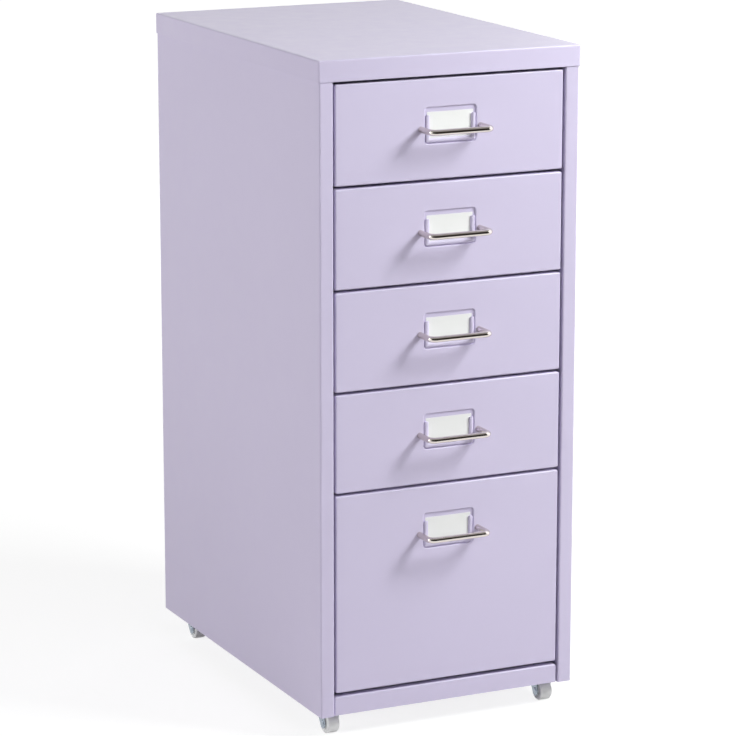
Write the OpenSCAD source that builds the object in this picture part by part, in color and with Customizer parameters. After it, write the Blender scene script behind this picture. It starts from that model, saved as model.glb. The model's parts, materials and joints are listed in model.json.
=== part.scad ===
// Five-drawer mobile cabinet in folded sheet steel, standing on four swivel casters.
// The origin is on the floor, under the middle of the overall box. +Z is up, and the
// drawers open towards -Y. Drawer 1 is the top one and drawer 5 the tall one at the bottom.

/* [Cabinet] */
// Width across the top cap
cabinet_w = 280; // [240:1:420]
// Depth of the top cap, front to back
cabinet_d = 410; // [380:1:600]
// Thickness of the painted sheet steel
sheet = 0.8; // [0.6:0.1:1.2]
// Outside radius of the folded edges
bend_r = 1.6; // [1.4:0.1:2.4]
// Height of the folded lip round the top cap
cap_lip_h = 21; // [16:1:40]
// Gap between the cap's lip and the panels inside it
cap_fit = 0.2; // [0.1:0.05:1]
// Width of the folded post at each front corner
post_w = 14.5; // [13:0.5:22]
// Depth of the post's return, front to back
post_return = 10; // [6:0.5:18]
// Width of the flange down the back edge of each side panel
rear_flange = 14; // [10:0.5:20]
// Width of the side panel's flange under the cap
top_flange = 12; // [8:0.5:16]
// Number of rivets down each side of the back panel
back_rivets_per_side = 5; // [2:1:8]
// Diameter of the rivets that hold the back panel
back_rivet_d = 3.2; // [2.4:0.1:4]
// Diameter of the rivet heads on the back
back_rivet_head_d = 6.4; // [5:0.2:8]
// Diameter of the rivets' set heads inside
back_rivet_tail_d = 4.8; // [4.2:0.1:6]
// Height of the rivet heads, outside and inside
back_rivet_head_h = 0.9; // [0.6:0.1:1]

/* [Base] */
// Height of the panels' lower edge above the floor
ride_h = 24; // [22:0.5:45]
// Height of the skirt under the bottom drawer
skirt_h = 19; // [16:0.5:40]
// How far the skirt's face lies behind the posts
skirt_inset = 2.2; // [0.5:0.1:4]
// Gap between the skirt and each post
skirt_side_gap = 1; // [0.6:0.1:3]
// Corner radius of the skirt's outline
skirt_corner_r = 3; // [2:0.5:6]
// Depth of the skirt's folded flanges
skirt_flange = 8; // [5:0.5:12]
// Height of the floor pan above the panels' lower edge
base_rise = 9; // [6:0.5:12]
// Height of the floor pan's side flanges
pan_flange = 12; // [8:0.5:20]

/* [Drawers] */
// Height of the fronts of the four small drawers
small_front_h = 97.6; // [84:0.2:160]
// Height of the front of the bottom drawer
big_front_h = 199.6; // [100:0.2:320]
// Gap between one front and the next, and under the cap's lip
front_gap = 2.8; // [1.6:0.1:5]
// Gap between the bottom drawer's front and the skirt
bottom_gap = 4; // [2:0.5:10]
// Gap between a front and each post
side_gap = 2.4; // [1:0.1:4]
// How far the fronts lie behind the posts
front_inset = 1; // [0:0.1:3]
// Depth of the flanges folded back round a front
front_flange = 11; // [8:0.5:16]
// How far a drawer pulls out before its stops meet
drawer_travel = 300; // [100:5:330]
// Drop from the top edge of a front to the tray's rim
tray_drop = 14; // [12:0.5:24]
// Height of the tray's floor above the lower edge of the front
tray_lift = 5; // [3:0.5:10]
// Width of the border that joins the tray to the front
tray_border = 8; // [5:0.5:14]
// Width of the rim that slides in the runner
rim_w = 9; // [7:0.5:14]
// Height of the rim's turned-down edge
rim_h = 5; // [3:0.5:8]
// How far the stop lug reaches past the rim
lug_w = 8; // [4:0.5:9]
// Length of the stop lug
lug_l = 12; // [6:0.5:20]

/* [Runners] */
// Thickness of the runner's steel
runner_t = 1.2; // [1:0.1:1.6]
// Clearance under the sliding rim
run_clear = 0.15; // [0.1:0.05:0.5]
// Clearance above the sliding rim
lift_clear = 0.5; // [0.3:0.1:1]
// Clearance between the runner's lips and the tray's wall
lip_clear = 1.5; // [1:0.1:3]
// Clearance between the runner's ends and what is before and behind it
end_clear = 1; // [0.5:0.1:3]
// Clearance left at the stops when a drawer is fully out
stop_clear = 0.5; // [0.3:0.1:2]
// Clearance between the rim and the stop tab beside it
tab_clear = 1.5; // [1:0.1:3]
// Diameter of the rubber bumper behind each drawer
bumper_d = 12; // [8:1:20]
// Length of the bumper
bumper_l = 8; // [4:0.5:14]
// Clearance between a bumper and the closed drawer
bumper_clear = 0.2; // [0.1:0.05:1]

/* [Handles] */
// Gap between a handle's nuts and the back of the pressed recess
nut_gap = 0.45; // [0.2:0.05:16]
// How far a handle stands out from the front
handle_out = 28; // [22:0.5:40]
// Diameter of the handle's wire
wire_d = 6; // [4.4:0.1:7]
// Bend radius at the middle of the wire
handle_bend_r = 5.5; // [4:0.5:10]
// Drop from the top of the recess to the handle
handle_drop = 20.5; // [6:0.5:28]
// Diameter of the threaded stud at each end of the wire
stud_d = 4; // [3:0.5:4]
// Clearance round the stud in the front
stud_clear = 0.15; // [0.1:0.05:0.4]
// Clearance between a stud and its nut
thread_clear = 0.05; // [0.02:0.01:0.1]
// Width of a nut across its flats
nut_flats = 7; // [5.5:0.5:7]
// Thickness of a nut
nut_h = 3.2; // [2.4:0.1:4]
// Length of thread left past the nut
stud_tail = 1.3; // [0.5:0.1:4]

/* [Label] */
// Width of the pressed recess
recess_w = 54.5; // [40:0.5:80]
// Height of the pressed recess
recess_h = 35; // [26:0.5:40]
// Depth of the pressed recess
recess_depth = 1.8; // [1.6:0.1:2.6]
// Corner radius of the recess
recess_r = 3; // [1:0.5:6]
// Drop from the top edge of a front to the recess
recess_drop = 28; // [16:0.5:40]
// Gap between the holder and the wall of the recess
holder_gap = 1; // [0.4:0.1:2]
// Thickness of the holder's steel
holder_t = 0.8; // [0.6:0.1:1]
// Width of the holder's side tabs
tab_w = 4.8; // [3:0.1:8]
// Height of the holder's bottom lip
lip_h = 4.5; // [3:0.1:7]
// Width of the holder's foot, beside and under the card
foot_w = 1.4; // [0.8:0.1:2.4]
// Drop from the top of the recess to the tabs
tab_drop = 7.4; // [5:0.1:10]
// Drop from the top of the recess to the card
card_drop = 4.4; // [2:0.1:5]
// Thickness of the card
card_t = 0.4; // [0.2:0.05:0.5]
// Clearance round the card in its slot
card_clear = 0.1; // [0.05:0.05:0.3]
// Corner radius of the tabs
tab_corner_r = 1.8; // [0.5:0.1:2.4]

/* [Casters] */
// Distance from the side panel's face to a swivel axis
caster_inset_x = 20; // [20:0.5:40]
// Distance from the front or back of the body to a swivel axis
caster_inset_y = 34; // [30:0.5:60]
// Distance from the swivel axis forward to the axle
trail = 10.5; // [6:0.5:14]
// Diameter of the wheel
wheel_d = 21; // [18:0.5:24]
// Width of the wheel
wheel_w = 13; // [10:0.5:16]
// Radius of the wheel's rounded edges
wheel_edge_r = 2; // [1:0.25:3]
// Diameter of the hub boss on each side of the wheel
hub_d = 8; // [6.5:0.5:9]
// Depth of the dished ring round the hub
dish_depth = 1.2; // [0.5:0.1:2]
// Width of the rim left outside the dished ring
wheel_rim = 3.5; // [2.5:0.1:4]
// Thickness of the fork's steel
fork_t = 1.2; // [1:0.1:1.6]
// Outside radius of the fork's folds
fork_bend_r = 2.2; // [1.8:0.1:3]
// Gap between the wheel and each arm of the fork
wheel_side_gap = 0.5; // [0.3:0.1:1]
// Radius of the arm's round end
fork_tip_r = 5.2; // [4:0.1:7]
// Reach of the fork's crown behind the swivel axis
crown_rear = 10; // [6:0.5:10]
// Reach of the fork's crown in front of the swivel axis
crown_front = 10; // [7:0.5:12]
// Diameter of the axle
axle_d = 4; // [3:0.5:4]
// Diameter of the axle's heads
axle_head_d = 6; // [5:0.5:8]
// Height of the axle's heads
axle_head_h = 1; // [0.6:0.1:1.6]
// Size of the mounting plate across the cabinet
plate_w = 34; // [32:1:36]
// Size of the mounting plate along the cabinet
plate_l = 38; // [36:1:50]
// Thickness of the mounting plate
plate_t = 1.5; // [1:0.1:2.5]
// Corner radius of the mounting plate
plate_corner_r = 3; // [1:0.5:5]
// Height of the raised bearing ring under the plate
race_h = 0.8; // [0.5:0.1:1.2]
// Diameter of the bearing ring
race_d = 15; // [13:0.5:16]
// Diameter of the kingpin
kingpin_d = 5.8; // [5:0.1:6.5]
// Diameter of the kingpin's heads
kingpin_head_d = 10; // [9:0.5:11]
// Height of the kingpin's heads
kingpin_head_h = 1.4; // [1:0.1:2]
// Radial clearance of the axle and the kingpin
pin_clear = 0.05; // [0.02:0.01:0.1]
// Clearance between flat faces that turn on each other
turn_clear = 0.1; // [0.05:0.05:0.3]
// Distance from a plate's edge to its rivets
rivet_edge = 4.5; // [4:0.1:5]
// Diameter of the plate's rivets
rivet_d = 4; // [3:0.5:4]
// Diameter of the rivets' heads
rivet_head_d = 7; // [5.5:0.5:7.5]
// Height of the rivets' heads
rivet_head_h = 1.2; // [0.8:0.1:2]

/* [Hidden] */
$fn = 48;

paint = [0.83, 0.80, 0.89];
chrome = [0.80, 0.80, 0.80];
zinc = [0.66, 0.70, 0.74];
wheel_white = [0.86, 0.88, 0.87];
card_white = [0.95, 0.95, 0.95];
rubber = [0.16, 0.16, 0.17];

// How far a cut runs past the face it opens
overcut = 1;
// How far a straight edge ends inside the round end that it blends into
blend_step = 0.04;
drawer_count = 5;
drawers = [1 : drawer_count];
left = -1;
right = 1;
front = -1;
rear = 1;

// Plan of the body
cap_overhang = sheet + cap_fit;
body_w = cabinet_w - 2 * cap_overhang;
nose = handle_out - front_inset - cap_overhang;
cap_front = (nose - cabinet_d) / 2;
cap_back = cap_front + cabinet_d;
post_face = cap_front + cap_overhang;
panel_back = cap_back - cap_overhang;
inner_x = body_w / 2 - sheet;
inner_back = panel_back - 2 * sheet;
opening_w = body_w - 2 * post_w;
post_end = post_face + post_return;
skirt_y = post_face + skirt_inset;
skirt_w = opening_w - 2 * skirt_side_gap;

// Drawers and runners in plan
front_w = opening_w - 2 * side_gap;
face_y = post_face + front_inset;
tray_w = front_w - 2 * rim_w;
tray_front = face_y + sheet;
tray_back = inner_back - bumper_l - bumper_clear;
rim_front = face_y + front_flange + end_clear;
lug_front = tray_back - lug_l;
runner_front = max(post_end, face_y + front_flange) + end_clear;
runner_back = inner_back - back_rivet_head_h - end_clear;
runner_lip_x = tray_w / 2 + lip_clear;
stop_back = lug_front - drawer_travel - stop_clear;
tab_x = front_w / 2 + tab_clear;

// Heights
skirt_top = ride_h + skirt_h;
pan_z = ride_h + base_rise;
big_front_z = skirt_top + bottom_gap;
small_pitch = small_front_h + front_gap;
lip_z = big_front_z + big_front_h + front_gap + (drawer_count - 1) * small_pitch;
total_h = lip_z + cap_lip_h;
cap_underside = total_h - sheet;

function front_h(i) = i == drawer_count ? big_front_h : small_front_h;
function front_z(i) =
    i == drawer_count ? big_front_z
                      : big_front_z + big_front_h + front_gap + (drawer_count - 1 - i) * small_pitch;
function front_top(i) = front_z(i) + front_h(i);
function rim_z(i) = front_top(i) - tray_drop;
function tray_z(i) = front_z(i) + tray_lift;
function recess_top(i) = front_top(i) - recess_drop;
function handle_z(i) = recess_top(i) - handle_drop;
function recess_bottom(i) = recess_top(i) - recess_h;

// Handles
handle_pitch = recess_w + 2 * (sheet + nut_gap) + nut_flats;
wire_r = wire_d / 2;
bar_y = face_y - handle_out + wire_r;
stud_l = sheet + nut_h + stud_tail;

// Label holder, measured on the floor of the recess
recess_floor = face_y + recess_depth;
card_slot = card_t + card_clear;
holder_w = recess_w - 2 * holder_gap;
holder_depth = card_slot + holder_t;
slot_w = holder_w - 2 * foot_w;
card_w = slot_w - 2 * card_clear;

// Casters
swivel_x = body_w / 2 - caster_inset_x;
swivel_front_y = post_face + caster_inset_y;
swivel_rear_y = panel_back - caster_inset_y;
wheel_r = wheel_d / 2;
plate_z = pan_z - plate_t;
crown_top = plate_z - race_h - turn_clear;
crown_bottom = crown_top - fork_t;
fork_w = wheel_w + 2 * wheel_side_gap + 2 * fork_t;
// Width and length of the blank that a fork is cut from, both well past the fork itself
blank_w = 2 * fork_w;
blank_l = 4 * wheel_d;
rivet_x = plate_w / 2 - rivet_edge;
rivet_y = plate_l / 2 - rivet_edge;
function swivel_y(row) = row == front ? swivel_front_y : swivel_rear_y;

// The point where a line from p meets a circle round c on its left (turn = 1) or right (turn = -1)
function tangent_point(p, c, r, turn) =
    let (gap = p - c, heading = atan2(gap[1], gap[0]) + turn * acos(r / norm(gap)))
    c + r * [cos(heading), sin(heading)];

// ---- Outlines and folded shapes ----

// Rectangle centred on the origin with four round corners
module rounded_rect(w, h, r) {
    square([w - 2 * r, h], center = true);
    square([w, h - 2 * r], center = true);
    for (x = [r - w / 2, w / 2 - r], y = [r - h / 2, h / 2 - r])
        translate([x, y]) circle(r);
}

// Outline standing on the X axis with its two top corners rounded
module eased_outline(w, h, r) {
    translate([-w / 2, 0]) square([w, h - r]);
    translate([r - w / 2, 0]) square([w - 2 * r, h]);
    for (x = [r - w / 2, w / 2 - r])
        translate([x, h - r]) circle(r);
}

// Section of sheet folded into a channel that is open at the bottom
module channel_outline(w, h, wall, r) {
    difference() {
        eased_outline(w, h, r);
        translate([0, -overcut]) eased_outline(w - 2 * wall, h - wall + overcut, r - wall);
    }
}

// Block with the four edges round its top face eased
module eased_block(w, d, h, r) {
    intersection() {
        rotate([90, 0, 0]) linear_extrude(height = d, center = true) eased_outline(w, h, r);
        rotate([90, 0, 90]) linear_extrude(height = w, center = true) eased_outline(d, h, r);
    }
}

// Folded pan: an eased block, hollow from below
module pan(w, d, h, wall, r) {
    difference() {
        eased_block(w, d, h, r);
        translate([0, 0, -overcut])
            eased_block(w - 2 * wall, d - 2 * wall, h - wall + overcut, r - wall);
    }
}

// Plate of an outline drawn in X and Z, from y0 back to y1
module plate_in_y(y0, y1) {
    translate([0, y1, 0]) rotate([90, 0, 0]) linear_extrude(height = y1 - y0) children();
}

// Cylinder along +Y from y0 to y1
module rod_in_y(x, z, y0, y1, r) {
    translate([x, y0, z]) rotate([-90, 0, 0]) cylinder(h = y1 - y0, r = r);
}

// ---- Carcass ----

module top_cap() {
    color(paint)
        translate([0, (cap_front + cap_back) / 2, lip_z])
            pan(cabinet_w, cabinet_d, cap_lip_h, sheet, bend_r);
}

// Plan section of the left side panel: post, side and rear flange
module side_section() {
    side_x = -body_w / 2;
    side_d = panel_back - post_face;
    translate([side_x + post_w / 2, post_end])
        mirror([0, 1]) channel_outline(post_w, post_return, sheet, bend_r);
    intersection() {
        translate([side_x + rear_flange, post_face + side_d / 2])
            rotate(90) channel_outline(side_d, rear_flange, sheet, bend_r);
        translate([side_x, post_end - sheet]) square([rear_flange, side_d]);
    }
}

function back_rivet_z(n) =
    ride_h + (n + 0.5) * (lip_z - ride_h) / back_rivets_per_side;

// Places its children at the back panel's rivets on one side
module at_back_rivets(side) {
    for (n = [0 : back_rivets_per_side - 1])
        translate([side * (body_w / 2 - rear_flange / 2), 0, back_rivet_z(n)]) children();
}

// Profile in X and Z of the fold along the top of the left side panel
module top_fold() {
    intersection() {
        translate([0, cap_underside - 2 * bend_r]) channel_outline(body_w, 2 * bend_r, sheet, bend_r);
        translate([-body_w / 2, 0]) square([top_flange, total_h]);
    }
}

// Side panel as it stands on the left
module side_panel() {
    color(paint)
        difference() {
            union() {
                translate([0, 0, ride_h])
                    linear_extrude(height = cap_underside - bend_r - ride_h) side_section();
                plate_in_y(post_end, panel_back - bend_r) top_fold();
            }
            at_back_rivets(left)
                rod_in_y(0, 0, inner_back, panel_back + overcut, back_rivet_d / 2 + pin_clear);
        }
}

module left_side_panel() side_panel();

module right_side_panel() mirror([1, 0, 0]) side_panel();

// Flat sheet inside the rear flanges, clear of their folds
module back_panel() {
    back_x = body_w / 2 - bend_r - cap_fit;
    color(paint)
        difference() {
            translate([-back_x, inner_back, ride_h])
                cube([2 * back_x, sheet, cap_underside - sheet - cap_fit - ride_h]);
            for (side = [left, right])
                at_back_rivets(side)
                    rod_in_y(0, 0, inner_back - overcut, panel_back, back_rivet_d / 2 + pin_clear);
        }
}

// Rivets with a low head outside and a set head inside
module back_rivets() {
    color(zinc)
        for (side = [left, right])
            at_back_rivets(side) {
                rod_in_y(0, 0, panel_back, panel_back + back_rivet_head_h, back_rivet_head_d / 2);
                rod_in_y(0, 0, inner_back - back_rivet_head_h, panel_back + back_rivet_head_h,
                         back_rivet_d / 2);
                rod_in_y(0, 0, inner_back - back_rivet_head_h, inner_back, back_rivet_tail_d / 2);
            }
}

// Skirt: a face with flanges folded back along its top and ends
module skirt() {
    skirt_back = skirt_y + skirt_flange;
    difference() {
        intersection() {
            plate_in_y(skirt_y, skirt_back)
                translate([0, ride_h]) eased_outline(skirt_w, skirt_h, skirt_corner_r);
            translate([0, skirt_back, skirt_top - skirt_w / 2])
                rotate([90, 0, 0]) eased_block(skirt_w, skirt_w, skirt_flange, bend_r);
        }
        plate_in_y(skirt_y + sheet, skirt_back + overcut)
            translate([0, ride_h - overcut])
                eased_outline(skirt_w - 2 * sheet, skirt_h - sheet + overcut, skirt_corner_r - sheet);
    }
}

// Floor pan with side flanges, joined to the skirt by a tongue between the posts
module base_panel() {
    pan_front = post_end + cap_fit;
    color(paint)
        difference() {
            union() {
                skirt();
                translate([-skirt_w / 2, skirt_y + sheet / 2, pan_z])
                    cube([skirt_w, pan_front - skirt_y, sheet]);
                translate([-inner_x, pan_front, pan_z])
                    cube([2 * inner_x, inner_back - pan_front, sheet]);
                for (x = [-inner_x, inner_x - sheet])
                    translate([x, pan_front, pan_z]) cube([sheet, inner_back - pan_front, pan_flange]);
            }
            at_casters() {
                translate([0, 0, pan_z - overcut])
                    cylinder(h = sheet + 2 * overcut, d = kingpin_head_d + 2 * turn_clear);
                at_plate_rivets()
                    translate([0, 0, pan_z - overcut])
                        cylinder(h = sheet + 2 * overcut, r = rivet_d / 2 + pin_clear);
            }
        }
}

// ---- Runners and bumpers ----

// Channel that carries the rim of drawer i on the right-hand side, with its stop tab
module runner(i) {
    slot_z = rim_z(i) - rim_h - run_clear;
    slot_h = rim_h + run_clear + lift_clear;
    web_x = inner_x - runner_t;
    difference() {
        translate([runner_lip_x, runner_front, slot_z - runner_t])
            cube([inner_x - runner_lip_x, runner_back - runner_front, slot_h + 2 * runner_t]);
        translate([runner_lip_x - overcut, runner_front - overcut, slot_z])
            cube([web_x - runner_lip_x + overcut, runner_back - runner_front + 2 * overcut, slot_h]);
    }
    translate([tab_x, stop_back - runner_t, slot_z - runner_t / 2])
        cube([web_x + runner_t / 2 - tab_x, runner_t, slot_h + runner_t]);
}

module right_runners() {
    color(paint)
        for (i = drawers) runner(i);
}

module left_runners() mirror([1, 0, 0]) right_runners();

module drawer_bumpers() {
    color(rubber)
        for (i = drawers)
            rod_in_y(0, (tray_z(i) + rim_z(i)) / 2, inner_back - bumper_l, inner_back, bumper_d / 2);
}

// ---- Drawers ----

// Folded tray with rims that slide in the runners, open towards the front panel
module drawer_tray(i) {
    tray_h = rim_z(i) - tray_z(i);
    tray_l = tray_back - tray_front;
    color(paint) {
        difference() {
            translate([0, (tray_front + tray_back) / 2, rim_z(i)])
                mirror([0, 0, 1]) pan(tray_w, tray_l, tray_h, sheet, bend_r);
            translate([tray_border - tray_w / 2, tray_front - overcut, tray_z(i) + tray_border])
                cube([tray_w - 2 * tray_border, 2 * overcut + sheet, tray_h]);
        }
        tray_rim(i);
        mirror([1, 0, 0]) tray_rim(i);
    }
}

// Right-hand rim of the tray of drawer i: it laps the wall, turns down and ends in the stop lug
module tray_rim(i) {
    wall_x = tray_w / 2 - sheet;
    edge_x = tray_w / 2 + rim_w - sheet;
    rim_l = tray_back - rim_front;
    translate([wall_x, rim_front, rim_z(i) - sheet]) cube([rim_w + sheet, rim_l, sheet]);
    translate([edge_x, rim_front, rim_z(i) - rim_h]) cube([sheet, rim_l, rim_h]);
    translate([edge_x, lug_front, rim_z(i) - rim_h]) cube([sheet + lug_w, lug_l, sheet]);
}

// Folded front with a pressed label recess and two holes for the handle
module drawer_front(i) {
    recess_z = (recess_top(i) + recess_bottom(i)) / 2;
    color(paint)
        difference() {
            union() {
                translate([0, face_y + front_flange, front_z(i) + front_h(i) / 2])
                    rotate([90, 0, 0]) pan(front_w, front_h(i), front_flange, sheet, bend_r);
                plate_in_y(face_y + sheet / 2, recess_floor + sheet)
                    translate([0, recess_z])
                        rounded_rect(recess_w + 2 * sheet, recess_h + 2 * sheet, recess_r + sheet);
            }
            plate_in_y(face_y - overcut, recess_floor)
                translate([0, recess_z]) rounded_rect(recess_w, recess_h, recess_r);
            for (x = [-handle_pitch / 2, handle_pitch / 2])
                rod_in_y(x, handle_z(i), face_y - overcut, face_y + sheet + overcut,
                         stud_d / 2 + stud_clear);
        }
}

// Frame that holds the card: two side tabs and a bottom lip, open at the top
module label_holder(i) {
    holder_z = recess_bottom(i) + holder_gap;
    holder_h = recess_top(i) - tab_drop - holder_z;
    slot_z = holder_z + foot_w;
    window_z = holder_z + lip_h;
    color(paint)
        difference() {
            plate_in_y(recess_floor - holder_depth, recess_floor)
                translate([0, holder_z + holder_h / 2]) rounded_rect(holder_w, holder_h, tab_corner_r);
            plate_in_y(recess_floor - holder_depth - overcut, recess_floor + overcut)
                translate([0, window_z + holder_h / 2])
                    square([holder_w - 2 * tab_w, holder_h], center = true);
            plate_in_y(recess_floor - card_slot, recess_floor + overcut)
                translate([0, slot_z + holder_h / 2]) square([slot_w, holder_h], center = true);
        }
}

module label_card(i) {
    card_z = recess_bottom(i) + holder_gap + foot_w;
    card_h = recess_top(i) - card_drop - card_z;
    color(card_white)
        plate_in_y(recess_floor - card_t, recess_floor)
            translate([0, card_z + card_h / 2]) square([card_w, card_h], center = true);
}

// Wire bent into a D, with a threaded stud at the end of each leg
module handle(i) {
    color(chrome)
        translate([0, 0, handle_z(i)]) {
            for (side = [left, right]) {
                rod_in_y(side * handle_pitch / 2, 0, bar_y + handle_bend_r, face_y, wire_r);
                rod_in_y(side * handle_pitch / 2, 0, face_y - wire_r, face_y + stud_l, stud_d / 2);
                translate([side * (handle_pitch / 2 - handle_bend_r), bar_y + handle_bend_r, 0])
                    rotate([0, 0, side == left ? 180 : 270])
                        rotate_extrude(angle = 90) translate([handle_bend_r, 0]) circle(wire_r);
            }
            translate([handle_bend_r - handle_pitch / 2, bar_y, 0])
                rotate([0, 90, 0]) cylinder(h = handle_pitch - 2 * handle_bend_r, r = wire_r);
        }
}

module handle_nuts(i) {
    color(zinc)
        for (x = [-handle_pitch / 2, handle_pitch / 2])
            difference() {
                plate_in_y(tray_front, tray_front + nut_h)
                    translate([x, handle_z(i)]) rotate(30) circle(d = nut_flats / cos(30), $fn = 6);
                rod_in_y(x, handle_z(i), tray_front - overcut, tray_front + nut_h + overcut,
                         stud_d / 2 + thread_clear);
            }
}

// ---- Casters ----

// Places its children on the swivel axis of one caster, or of all four
module at_caster(side, row) {
    translate([side * swivel_x, swivel_y(row), 0]) children();
}

module at_casters() {
    for (side = [left, right], row = [front, rear]) at_caster(side, row) children();
}

module at_plate_rivets() {
    for (x = [-rivet_x, rivet_x], y = [-rivet_y, rivet_y]) translate([x, y, 0]) children();
}

// Mounting plate with a raised bearing ring under it
module caster_plate(side, row) {
    color(zinc)
        at_caster(side, row)
            difference() {
                union() {
                    translate([0, 0, plate_z])
                        linear_extrude(height = plate_t) rounded_rect(plate_w, plate_l, plate_corner_r);
                    translate([0, 0, plate_z - race_h]) cylinder(h = race_h + plate_t / 2, d = race_d);
                }
                translate([0, 0, crown_bottom]) cylinder(h = pan_z, r = kingpin_d / 2 + pin_clear);
                at_plate_rivets()
                    translate([0, 0, plate_z - overcut])
                        cylinder(h = plate_t + 2 * overcut, r = rivet_d / 2 + pin_clear);
            }
}

// Kingpins, each with a head in the pan's hole and one under the fork's crown
module caster_kingpins() {
    pin_foot = crown_bottom - turn_clear - kingpin_head_h;
    color(zinc)
        at_casters() {
            translate([0, 0, pin_foot]) cylinder(h = pan_z + kingpin_head_h - pin_foot, d = kingpin_d);
            for (z = [pin_foot, pan_z])
                translate([0, 0, z]) cylinder(h = kingpin_head_h, d = kingpin_head_d);
        }
}

// Rivets that clamp each plate to the floor pan
module caster_rivets() {
    rivet_foot = plate_z - rivet_head_h;
    rivet_l = plate_t + sheet + 2 * rivet_head_h;
    color(zinc)
        at_casters() at_plate_rivets() {
            translate([0, 0, rivet_foot]) cylinder(h = rivet_l, d = rivet_d);
            for (z = [rivet_foot, pan_z + sheet])
                translate([0, 0, z]) cylinder(h = rivet_head_h, d = rivet_head_d);
        }
}

// Block with the fork's side view, wide at the crown and round at the axle
module fork_blank() {
    axle = [-trail, wheel_r];
    rear_corner = [crown_rear, crown_top];
    front_corner = [-crown_front, crown_top];
    rotate([90, 0, 90])
        linear_extrude(height = blank_w, center = true)
            polygon([
                front_corner, rear_corner,
                tangent_point(rear_corner, axle, fork_tip_r - blend_step, -1),
                tangent_point(front_corner, axle, fork_tip_r - blend_step, 1)
            ]);
    translate([0, -trail, wheel_r])
        rotate([0, 90, 0]) cylinder(h = blank_w, r = fork_tip_r, center = true);
}

// Folded fork: a crown that turns on the kingpin and two arms that hold the axle
module caster_fork(side, row) {
    color(zinc)
        at_caster(side, row)
            difference() {
                intersection() {
                    rotate([90, 0, 0]) linear_extrude(height = blank_l, center = true)
                        channel_outline(fork_w, crown_top, fork_t, fork_bend_r);
                    fork_blank();
                }
                translate([0, 0, crown_bottom - overcut])
                    cylinder(h = fork_t + 2 * overcut, r = kingpin_d / 2 + pin_clear);
                translate([0, -trail, wheel_r])
                    rotate([0, 90, 0])
                        cylinder(h = blank_w, r = axle_d / 2 + pin_clear, center = true);
            }
}

module caster_axle(side, row) {
    color(zinc)
        at_caster(side, row)
            translate([0, -trail, wheel_r]) rotate([0, 90, 0]) {
                cylinder(h = fork_w + 2 * axle_head_h, d = axle_d, center = true);
                for (end = [left, right])
                    translate([0, 0, end * (fork_w + axle_head_h) / 2])
                        cylinder(h = axle_head_h, d = axle_head_d, center = true);
            }
}

// Half section of the wheel: radius along X, width along Y
module wheel_section() {
    bore_r = axle_d / 2 + pin_clear;
    difference() {
        intersection() {
            rounded_rect(wheel_d, wheel_w, wheel_edge_r);
            translate([bore_r, -wheel_w]) square([wheel_r, 2 * wheel_w]);
        }
        for (y = [-wheel_w / 2 - overcut, wheel_w / 2 - dish_depth])
            translate([hub_d / 2, y])
                square([wheel_r - wheel_rim - hub_d / 2, dish_depth + overcut]);
    }
}

module caster_wheel(side, row) {
    color(wheel_white)
        at_caster(side, row)
            translate([0, -trail, wheel_r]) rotate([0, 90, 0]) rotate_extrude() wheel_section();
}

// ---- Nodes ----

top_cap();
left_side_panel();
right_side_panel();
back_panel();
base_panel();
left_runners();
right_runners();
drawer_bumpers();
back_rivets();
drawer_tray(1);  // drawer_1_tray
drawer_front(1);  // drawer_1_front
label_holder(1);  // drawer_1_label_holder
label_card(1);  // drawer_1_card
handle(1);  // drawer_1_handle
handle_nuts(1);  // drawer_1_handle_nuts
drawer_tray(2);  // drawer_2_tray
drawer_front(2);  // drawer_2_front
label_holder(2);  // drawer_2_label_holder
label_card(2);  // drawer_2_card
handle(2);  // drawer_2_handle
handle_nuts(2);  // drawer_2_handle_nuts
drawer_tray(3);  // drawer_3_tray
drawer_front(3);  // drawer_3_front
label_holder(3);  // drawer_3_label_holder
label_card(3);  // drawer_3_card
handle(3);  // drawer_3_handle
handle_nuts(3);  // drawer_3_handle_nuts
drawer_tray(4);  // drawer_4_tray
drawer_front(4);  // drawer_4_front
label_holder(4);  // drawer_4_label_holder
label_card(4);  // drawer_4_card
handle(4);  // drawer_4_handle
handle_nuts(4);  // drawer_4_handle_nuts
drawer_tray(5);  // drawer_5_tray
drawer_front(5);  // drawer_5_front
label_holder(5);  // drawer_5_label_holder
label_card(5);  // drawer_5_card
handle(5);  // drawer_5_handle
handle_nuts(5);  // drawer_5_handle_nuts
caster_rivets();
caster_kingpins();
caster_plate(left, front);  // front_left_caster_plate
caster_fork(left, front);  // front_left_caster_fork
caster_axle(left, front);  // front_left_caster_axle
caster_wheel(left, front);  // front_left_caster_wheel
caster_plate(right, front);  // front_right_caster_plate
caster_fork(right, front);  // front_right_caster_fork
caster_axle(right, front);  // front_right_caster_axle
caster_wheel(right, front);  // front_right_caster_wheel
caster_plate(left, rear);  // rear_left_caster_plate
caster_fork(left, rear);  // rear_left_caster_fork
caster_axle(left, rear);  // rear_left_caster_axle
caster_wheel(left, rear);  // rear_left_caster_wheel
caster_plate(right, rear);  // rear_right_caster_plate
caster_fork(right, rear);  // rear_right_caster_fork
caster_axle(right, rear);  // rear_right_caster_axle
caster_wheel(right, rear);  // rear_right_caster_wheel
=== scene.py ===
# %% [markdown]
# # A folded-steel drawer cabinet on casters
#
# The real cabinet is thin sheet steel, folded and powder coated: a cap, two sides, a back, a floor with a
# skirt, and five drawers with pressed label recesses, card holders and bent wire handles, on four small
# casters. Its sizes and joints are settled in a frame of plain solids, which is loaded first. Each solid is
# then covered by a finer surface with soft folds and eased edges, which takes its place and size from it.

# %% Load the frame
import json
import math

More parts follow.
